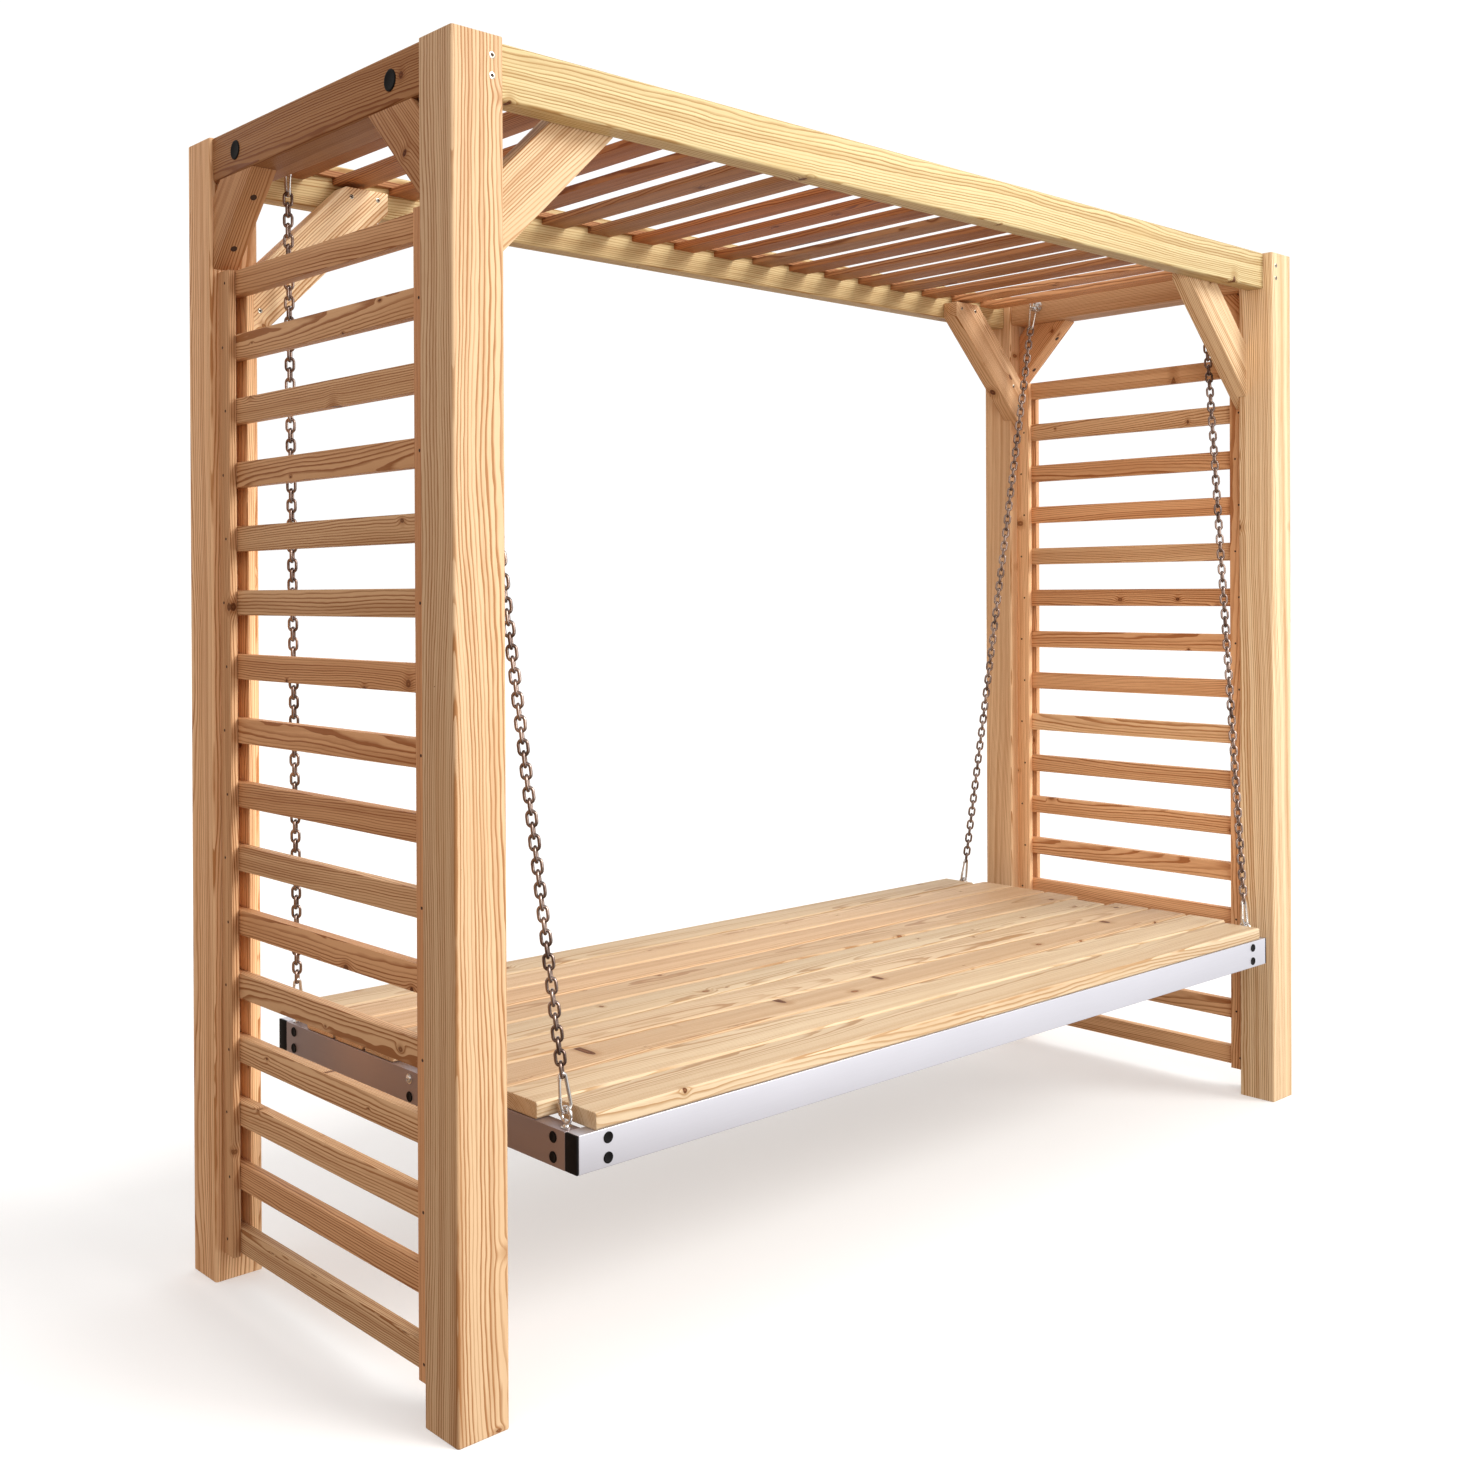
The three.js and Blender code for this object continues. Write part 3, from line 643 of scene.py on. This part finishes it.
def lathe(profile, sides=24):
    """A solid turned round +Z from (radius, height) pairs that start and end on the axis."""
    bm = bmesh.new()
    rings = []
    for radius, height in profile:
        if radius == 0:
            rings.append([bm.verts.new((0, 0, height))])
            continue
        turns = [2 * math.pi * j / sides for j in range(sides)]
        rings.append([bm.verts.new((radius * math.cos(t), radius * math.sin(t), height)) for t in turns])
    for first, second in zip(rings, rings[1:]):
        for j in range(sides):
            k = (j + 1) % sides
            corners = [first[j % len(first)], first[k % len(first)]]
            corners += [second[k % len(second)], second[j % len(second)]]
            bm.faces.new(list(dict.fromkeys(corners)))
    bmesh.ops.recalc_face_normals(bm, faces=bm.faces)
    return bm


def sweep(points, radius, sides=10, closed=False):
    """A round rod along the points, with round ends if it isn't closed."""
    bm = bmesh.new()
    count = len(points)
    points = [Vector(p) for p in points]
    rings = []
    normal = None
    for i, point in enumerate(points):
        before = points[i - 1] if i or closed else point
        after = points[(i + 1) % count] if i < count - 1 or closed else point
        along = (after - before).normalized()
        if normal is None:
            normal = along.orthogonal().normalized()
        normal = (normal - along * normal.dot(along)).normalized()
        across = along.cross(normal)
        turns = [2 * math.pi * j / sides for j in range(sides)]
        ring = [point + (normal * math.cos(t) + across * math.sin(t)) * radius for t in turns]
        rings.append([bm.verts.new(co) for co in ring])
    pairs = zip(rings, rings[1:] + rings[:1]) if closed else zip(rings, rings[1:])
    for first, second in pairs:
        for j in range(sides):
            k = (j + 1) % sides
            bm.faces.new((first[j], first[k], second[k], second[j]))
    if not closed:
        ends = ((rings[0], points[0], points[1]), (rings[-1], points[-1], points[-2]))
        for ring, point, other in ends:
            tip = bm.verts.new(point + (point - other).normalized() * radius * 0.45)
            for j in range(sides):
                bm.faces.new((ring[j], ring[(j + 1) % sides], tip))
    bmesh.ops.recalc_face_normals(bm, faces=bm.faces)
    return bm


def cap_plug(radius, rise):
    """A moulded cap with a rounded rim and a shallow dish."""
    return lathe([
        (0, -rise),
        (radius * 0.9, -rise),
        (radius * 0.9, 0),
        (radius, 0),
        (radius, rise * 0.45),
        (radius * 0.93, rise * 0.9),
        (radius * 0.80, rise),
        (radius * 0.70, rise * 0.75),
        (0, rise * 0.65),
    ], 28)


PLUG_RADIUS = 9 * MM
PLUG_SPREAD = 15.5 * MM
PLUG_INSET = 60 * MM
PLUG_RISE = 1.6 * MM
BEAM_PLUG_RADIUS = 17 * MM
BEAM_PLUG_RISE = 1.5 * MM


def make_plugs():
    """Black caps over the bed's corner bolts, and over the eye bolts' nuts in the side beams."""
    front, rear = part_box("bed_front_rail")[0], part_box("bed_rear_rail")[1]
    left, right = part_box("rail_cap_front_left")[0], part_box("rail_cap_front_right")[1]
    middle_z = (front.z + rear.z) / 2
    parts = []
    bolts = []

    def plug(centre, normal):
        parts.append((aim(cap_plug(PLUG_RADIUS, PLUG_RISE), centre, normal), 0))

    for z in (middle_z - PLUG_SPREAD, middle_z + PLUG_SPREAD):
        for x in (left.x + PLUG_INSET, right.x - PLUG_INSET):
            plug((x, front.y, z), (0, -1, 0))
            plug((x, rear.y, z), (0, 1, 0))
        for x, out in ((left.x, -1), (right.x, 1)):
            for y in (front.y + PLUG_INSET, rear.y - PLUG_INSET):
                plug((x, y, z), (out, 0, 0))
            if z < middle_z:
                plug((x, 0, z), (out, 0, 0))
            else:
                bolts.append((aim(bolt_head(), (x, 0, z), (out, 0, 0)), 0))
    mesh = mesh_from("rail_hole_plugs", merged(parts))
    add_piece("rail_hole_plugs", mesh, "bed", [PLASTIC])
    add_piece("centre_bolts", mesh_from("centre_bolts", merged(bolts)), "bed", [BRIGHT_STEEL])

    beam_parts = []
    for corner in CORNERS:
        low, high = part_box(side_of(corner) + "_beam")
        x = low.x if sign_x(corner) < 0 else high.x
        eye_low, eye_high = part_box("top_eye_" + corner)
        spot = (x, (eye_low.y + eye_high.y) / 2, (eye_low.z + eye_high.z) / 2)
        cap = cap_plug(BEAM_PLUG_RADIUS, BEAM_PLUG_RISE)
        beam_parts.append((aim(cap, spot, (sign_x(corner), 0, 0)), 0))
    mesh = mesh_from("beam_hole_plugs", merged(beam_parts))
    add_piece("beam_hole_plugs", mesh, "frame", [PLASTIC])


def bolt_head():
    """A low domed bolt head on its washer."""
    return lathe([
        (0, -1 * MM),
        (9 * MM, -1 * MM),
        (9 * MM, 1.2 * MM),
        (6.5 * MM, 1.4 * MM),
        (6.2 * MM, 3.0 * MM),
        (4.2 * MM, 4.6 * MM),
        (2.2 * MM, 4.9 * MM),
        (2.0 * MM, 2.4 * MM),
        (0, 2.4 * MM),
    ])


# ---------------------------------------------------------------- screws

def screw_head(radius):
    """A countersunk head and the dark pit of its socket: a disc of painted shade."""
    head = lathe([
        (0, -0.5 * MM),
        (radius, -0.5 * MM),
        (radius, 0.3 * MM),
        (radius * 0.92, 0.5 * MM),
        (radius * 0.56, 0.5 * MM),
        (radius * 0.52, 0.1 * MM),
        (0, 0.1 * MM),
    ], 16)
    pit = lathe([(0, 0), (radius * 0.5, 0.05 * MM), (radius * 0.5, 0.3 * MM), (0, 0.3 * MM)], 12)
    return head, pit


POST_SCREW = 5.5 * MM
POST_SCREW_INSET = 20 * MM
POST_SCREW_DROPS = (31 * MM, 61 * MM)
BRACE_SCREW = 4.5 * MM
BRACE_HEAD_SCREWS = ((22 * MM, 16 * MM), (78 * MM, 18 * MM))  # out from the brace's head, and down
BRACE_FOOT_SCREWS = ((20 * MM, 66 * MM), (42 * MM, 118 * MM))  # in from the brace's foot, and up
BRACE_HOLE = 6 * MM
BRACE_HOLE_RISES = (0.22, 0.72)  # parts of the side brace's height
SLAT_HOLE = 2.6 * MM
SLAT_HOLE_STAGGER = 5 * MM


def make_screws():
    parts = []
    dark = []

    def drive(centre, normal, radius):
        head, pit = screw_head(radius)
        parts.append((aim(head, centre, normal), 0))
        parts.append((aim(pit, centre, normal), 1))

    # a flat dark disc on the face: painted shade inside a bored hole
    def sunk(centre, normal, radius):
        profile = [(0, -0.4 * MM), (radius, -0.4 * MM), (radius, 0.15 * MM), (0, 0.2 * MM)]
        dark.append((aim(lathe(profile, 14), centre, normal), 0))

    for corner in CORNERS:
        sx, sy = sign_x(corner), sign_y(corner)
        low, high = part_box("post_" + corner)
        face_y = low.y if sy < 0 else high.y
        inner_x = high.x if sx < 0 else low.x
        for drop in POST_SCREW_DROPS:
            drive((inner_x + sx * POST_SCREW_INSET, face_y, high.z - drop), (0, sy, 0), POST_SCREW)

        low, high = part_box("long_brace_" + corner)
        inner_y = high.y if sy < 0 else low.y
        head_x = min(abs(low.x), abs(high.x))
        foot_x = max(abs(low.x), abs(high.x))
        spots = [(head_x + out, high.z - down) for out, down in BRACE_HEAD_SCREWS]
        spots += [(foot_x - back, low.z + up) for back, up in BRACE_FOOT_SCREWS]
        for x, z in spots:
            drive((sx * x, inner_y, z), (0, -sy, 0), BRACE_SCREW)

        low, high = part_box("side_brace_" + corner)
        middle_x = (low.x + high.x) / 2
        foot_y = max(abs(low.y), abs(high.y))
        lower_face = Vector((0, -sy, -1)).normalized()
        for part_of_height in BRACE_HOLE_RISES:
            rise = part_of_height * (high.z - low.z)
            sunk((middle_x, sy * (foot_y - rise), low.z + rise), lower_face, BRACE_HOLE)

        screen_low, screen_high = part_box(side_of(corner) + "_screen")
        outer_x = screen_low.x if sx < 0 else screen_high.x
        batten_low, batten_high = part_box("inner_batten_" + corner)
        batten_x = batten_high.x if sx < 0 else batten_low.x
        y = (batten_low.y + batten_high.y) / 2
        for i in range(SLAT_COUNT):
            z = screen_high.z - SLAT_HIGH / 2 - i * SLAT_PITCH
            stagger = SLAT_HOLE_STAGGER if i % 2 else -SLAT_HOLE_STAGGER
            sunk((outer_x, y + stagger, z), (sx, 0, 0), SLAT_HOLE)
            sunk((batten_x, y - stagger, z), (-sx, 0, 0), SLAT_HOLE)
    mesh = mesh_from("frame_screws", merged(parts))
    add_piece("frame_screws", mesh, "frame", [SCREW_STEEL, HOLE_SHADE])
    # the dark discs are painted shade inside the screw holes
    add_piece("painted_shade_holes", mesh_from("painted_shade_holes", merged(dark)), "frame", [HOLE_SHADE])


# ---------------------------------------------------------------- chains, hooks and eyes

ROD = 6 * MM
EYE_RADIUS = 15 * MM
TOP_FLANGE_RADIUS = 16 * MM
LOW_FLANGE_RADIUS = 9 * MM
HOOK_PLAY = 0.8 * MM
HOOK_LENGTH = 64 * MM
HOOK_WIDE = 13 * MM
HOOK_NARROW = 9 * MM
HOOK_NOSE = 6 * MM
HINGE_TURN = 0.15  # how far before the top's end the gate is hinged, in radians
GATE_RADIUS = ROD * 0.40
SLEEVE_RADIUS = ROD * 0.56
PIN_RADIUS = 1.3 * MM
PIN_REACH = 3.8 * MM
LINK_PITCH = 18.5 * MM
LINK_WIDE = 20 * MM
LINK_WIRE = 5.6 * MM
EYE_STEPS = 24


def arc(centre, radius, start, end, steps):
    """Points of an arc in the XZ plane."""
    turns = [start + (end - start) * i / (steps - 1) for i in range(steps)]
    return [Vector((centre[0] + radius * math.cos(t), 0, centre[1] + radius * math.sin(t))) for t in turns]


def snap_hook():
    """A pear-shaped snap hook in the XZ plane: its wide end stands on the origin and it runs along +Z."""
    wide = HOOK_WIDE - ROD / 2
    narrow = HOOK_NARROW - ROD / 2
    reach = HOOK_LENGTH - HOOK_WIDE - HOOK_NARROW
    lean = math.asin((wide - narrow) / reach)
    bottom = arc((0, HOOK_WIDE), wide, math.pi + lean, 2 * math.pi - lean, 15)
    top = arc((0, HOOK_WIDE + reach), narrow, -lean, math.pi - HINGE_TURN, 13)
    body = [bottom[0] + Vector((0, 0, HOOK_NOSE))] + bottom + top
    parts = [(sweep(body, ROD / 2, 12), 0)]
    hinge = top[-1]
    nose = body[0]
    gate = [hinge, nose + (hinge - nose) * 0.10]
    parts.append((sweep(gate, GATE_RADIUS, 12), 0))
    sleeve = [nose + (hinge - nose) * 0.02, nose + (hinge - nose) * 0.20]
    parts.append((sweep(sleeve, SLEEVE_RADIUS, 12), 0))
    profile = ((0, -PIN_REACH), (PIN_RADIUS, -PIN_REACH), (PIN_RADIUS, PIN_REACH), (0, PIN_REACH))
    pin = lathe(profile, 10)
    parts.append((aim(pin, hinge + (nose - hinge) * 0.08, (0, 1, 0)), 0))
    return merged(parts)


def link_outline():
    """The middle of a link's wire: one link along Z in the XZ plane, centred on the origin."""
    half_wide = LINK_WIDE / 2 - LINK_WIRE / 2
    straight = (LINK_PITCH + LINK_WIRE) / 2 - half_wide
    upper = arc((0, straight), half_wide, 0, math.pi, 9)
    return upper + arc((0, -straight), half_wide, math.pi, 2 * math.pi, 9)


def eye_centre(corner, place):
    low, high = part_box(f"{place}_eye_{corner}")
    if place == "low":
        return Vector(((low.x + high.x) / 2, (low.y + high.y) / 2, high.z - EYE_RADIUS))
    inner = high.x if sign_x(corner) < 0 else low.x
    return Vector((inner + sign_x(corner) * EYE_RADIUS, (low.y + high.y) / 2, (low.z + high.z) / 2))


def make_chain(corner):
    reach = EYE_RADIUS - ROD - HOOK_PLAY
    top = eye_centre(corner, "top") - Vector((0, 0, reach))
    bottom = eye_centre(corner, "low") + Vector((0, 0, reach))
    upward = (top - bottom).normalized()
    turn = Vector((0, 0, 1)).rotation_difference(upward).to_matrix().to_4x4()
    span = (top - bottom).length
    place = Matrix.Translation(bottom) @ turn

    low_hook = snap_hook()
    low_hook.transform(place @ Matrix.Translation((0, 0, -ROD)))
    top_hook = snap_hook()
    flip = Matrix.Rotation(math.pi / 2, 4, "Z") @ Matrix.Rotation(math.pi, 4, "X")
    top_hook.transform(place @ Matrix.Translation((0, 0, span + ROD)) @ flip)
    hooks = [(low_hook, 0), (top_hook, 0)]

    first = HOOK_LENGTH - 2 * ROD
    last = span - first
    count = round((last - first) / LINK_PITCH)
    pitch = (last - first) / count
    outline = link_outline()
    links = []
    for i in range(count):
        spin = Matrix.Rotation(math.pi / 4 + (math.pi / 2) * (i % 2), 4, "Z")
        matrix = place @ Matrix.Translation((0, 0, first + (i + 0.5) * pitch)) @ spin
        wire = sweep([matrix @ p for p in outline], LINK_WIRE / 2, 8, closed=True)
        links.append((wire, 1))
    mesh = mesh_from("chain_" + corner + "_links", merged(hooks + links), 50)
    name = "chain_" + corner
    add_piece(name + "_links", mesh, name, [BRIGHT_STEEL, CHAIN_STEEL], [name])


def make_eye(corner, place):
    """A forged eye with its flange and neck."""
    centre = eye_centre(corner, place)
    low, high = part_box(f"{place}_eye_{corner}")
    if place == "low":
        out = Vector((0, 0, 1))
        plane = Matrix.Rotation(math.pi / 2, 4, "Z")
        stand = centre.z - low.z
    else:
        out = Vector((-sign_x(corner), 0, 0))
        plane = Matrix.Identity(4)
        stand = abs((high.x if sign_x(corner) > 0 else low.x) - centre.x)
    last_turn = 2 * math.pi * (EYE_STEPS - 1) / EYE_STEPS
    ring_points = arc((0, 0), EYE_RADIUS - ROD / 2, 0, last_turn, EYE_STEPS)
    ring = sweep([plane @ p for p in ring_points], ROD / 2, 12, closed=True)
    ring.transform(Matrix.Translation(centre))
    neck = stand - EYE_RADIUS + 1 * MM
    flange = TOP_FLANGE_RADIUS if place == "top" else LOW_FLANGE_RADIUS
    collar = lathe([
        (0, -stand),
        (flange, -stand),
        (flange, -stand + 1.2 * MM),
        (flange - 1.0 * MM, -stand + 1.7 * MM),
        (5.6 * MM, -stand + 1.7 * MM),
        (4.8 * MM, -stand + 1.7 * MM + neck * 0.5),
        (3.6 * MM, -EYE_RADIUS + 1.2 * MM),
        (0, -EYE_RADIUS + 1.2 * MM),
    ], 32)
    aim(collar, centre, out)
    body = "frame" if place == "top" else "bed"
    name = f"{place}_eye_{corner}"
    mesh = mesh_from(name + "_forged", merged([(ring, 0), (collar, 0)]), 50)
    add_piece(name + "_forged", mesh, body, [BRIGHT_STEEL], [name])


# ---------------------------------------------------------------- stage and light

FLOOR_REACH = 60.0
FLOOR_SHADE = rgb(0.72, 0.72, 0.72)
FLOOR_GLOW = 0.32
WHITE = rgb(1.0, 1.0, 1.0)


def make_stage():
    bm = bmesh.new()
    bmesh.ops.create_grid(bm, x_segments=1, y_segments=1, size=FLOOR_REACH)
    mesh = bpy.data.meshes.new("floor")
    bm.to_mesh(mesh)
    bm.free()
    floor = bpy.data.objects.new("floor", mesh)
    bpy.context.scene.collection.objects.link(floor)
    material = bpy.data.materials.new("pale_floor")
    n = Nodes(material)
    n.surface(FLOOR_SHADE, 0.9, Emission_Color=WHITE, Emission_Strength=FLOOR_GLOW)
    mesh.materials.append(material)
    floor.visible_diffuse = False
    floor.visible_glossy = False


BACKDROP_GLOW = 1.06
BACKDROP_WAY = (0.69, 0.72)  # in plan, from the object
SOFTBOX_GLOW = 0.85
SOFTBOX_WAY = (0.77, -0.64)
LOW_GLOW = 0.22
HIGH_GLOW_EXTRA = 0.52
LEFT_GLOW_EXTRA = 0.38
NEUTRAL_SKY = rgb(1.0, 0.99, 0.98)
WARM_SKY = rgb(1.0, 0.75, 0.58)
KEY_POWER = 2.15
KEY_COLOR = (1.0, 0.985, 0.955)
KEY_SPREAD = math.radians(30)
KEY_FROM = Vector((0.42, -0.78, 0.50))
FILL_POWER = 28.0
FILL_COLOR = (1.0, 0.96, 0.90)
FILL_SIZE = 1.6
FILL_PLACE = (-0.5, -2.3, 1.5)
FILL_TARGET = Vector((1.2, 0.0, 1.0))


def facing(n, x, y, way):
    """How far a direction with these plan coordinates points the given way."""
    return n.math("ADD", n.math("MULTIPLY", x, way[0]), n.math("MULTIPLY", y, way[1]))


def make_light():
    """A soft studio: a bright backdrop at the rear right, a softbox at the front right, a warm left."""
    world = bpy.data.worlds.new("studio")
    world.use_nodes = True
    bpy.context.scene.world = world
    n = Nodes(world)
    out = n.add("ShaderNodeOutputWorld")
    x, y, z = n.parts(n.add("ShaderNodeTexCoord").outputs["Generated"])
    backdrop = n.step(facing(n, x, y, BACKDROP_WAY), 0.35, 0.78)
    softbox = n.step(facing(n, x, y, SOFTBOX_WAY), 0.72, 0.93)
    ambient = n.math("MULTIPLY_ADD", n.step(z, -0.30, 0.6), HIGH_GLOW_EXTRA, LOW_GLOW)
    ambient = n.math("MULTIPLY_ADD", softbox, SOFTBOX_GLOW, ambient)
    left_extra = n.math("MULTIPLY", ambient, LEFT_GLOW_EXTRA)
    ambient = n.math("MULTIPLY_ADD", n.step(x, -0.05, -0.7), left_extra, ambient)
    extra = n.math("SUBTRACT", BACKDROP_GLOW, ambient)
    strength = n.math("ADD", ambient, n.math("MULTIPLY", backdrop, extra))
    warm = n.step(n.math("SUBTRACT", n.math("MULTIPLY", x, -0.8), z), -0.3, 0.8)
    color = n.mix(warm, NEUTRAL_SKY, WARM_SKY)
    # what is seen behind the object is plain white all round
    seen = n.add("ShaderNodeLightPath").outputs["Is Camera Ray"]
    extra = n.math("SUBTRACT", BACKDROP_GLOW, strength)
    strength = n.math("ADD", strength, n.math("MULTIPLY", seen, extra))
    color = n.mix(seen, color, WHITE)
    background = n.add("ShaderNodeBackground", {"Color": color, "Strength": strength})
    n.tree.links.new(background.outputs[0], out.inputs["Surface"])

    key = add_light("key", "SUN", KEY_POWER, KEY_COLOR)
    key.data.angle = KEY_SPREAD
    aim_light(key, KEY_FROM)
    fill = add_light("fill", "AREA", FILL_POWER, FILL_COLOR)
    fill.data.size = FILL_SIZE
    fill.location = FILL_PLACE
    aim_light(fill, fill.location - FILL_TARGET)
    bpy.context.scene.view_settings.view_transform = "Standard"


def add_light(name, kind, energy, color):
    data = bpy.data.lights.new(name, kind)
    data.energy = energy
    data.color = color
    light = bpy.data.objects.new(name, data)
    bpy.context.scene.collection.objects.link(light)
    return light


def aim_light(light, back):
    """Turns the light so that it shines away from the given direction."""
    light.rotation_mode = "QUATERNION"
    light.rotation_quaternion = back.to_track_quat("Z", "Y")


# ---------------------------------------------------------------- the scene

make_camera()
make_frame_timbers()
make_screens()
make_roof()
make_deck()
make_rails()
make_plugs()
make_screws()
for corner_name in CORNERS:
    make_chain(corner_name)
    make_eye(corner_name, "top")
    make_eye(corner_name, "low")
make_stage()
make_light()

bpy.context.view_layer.update()
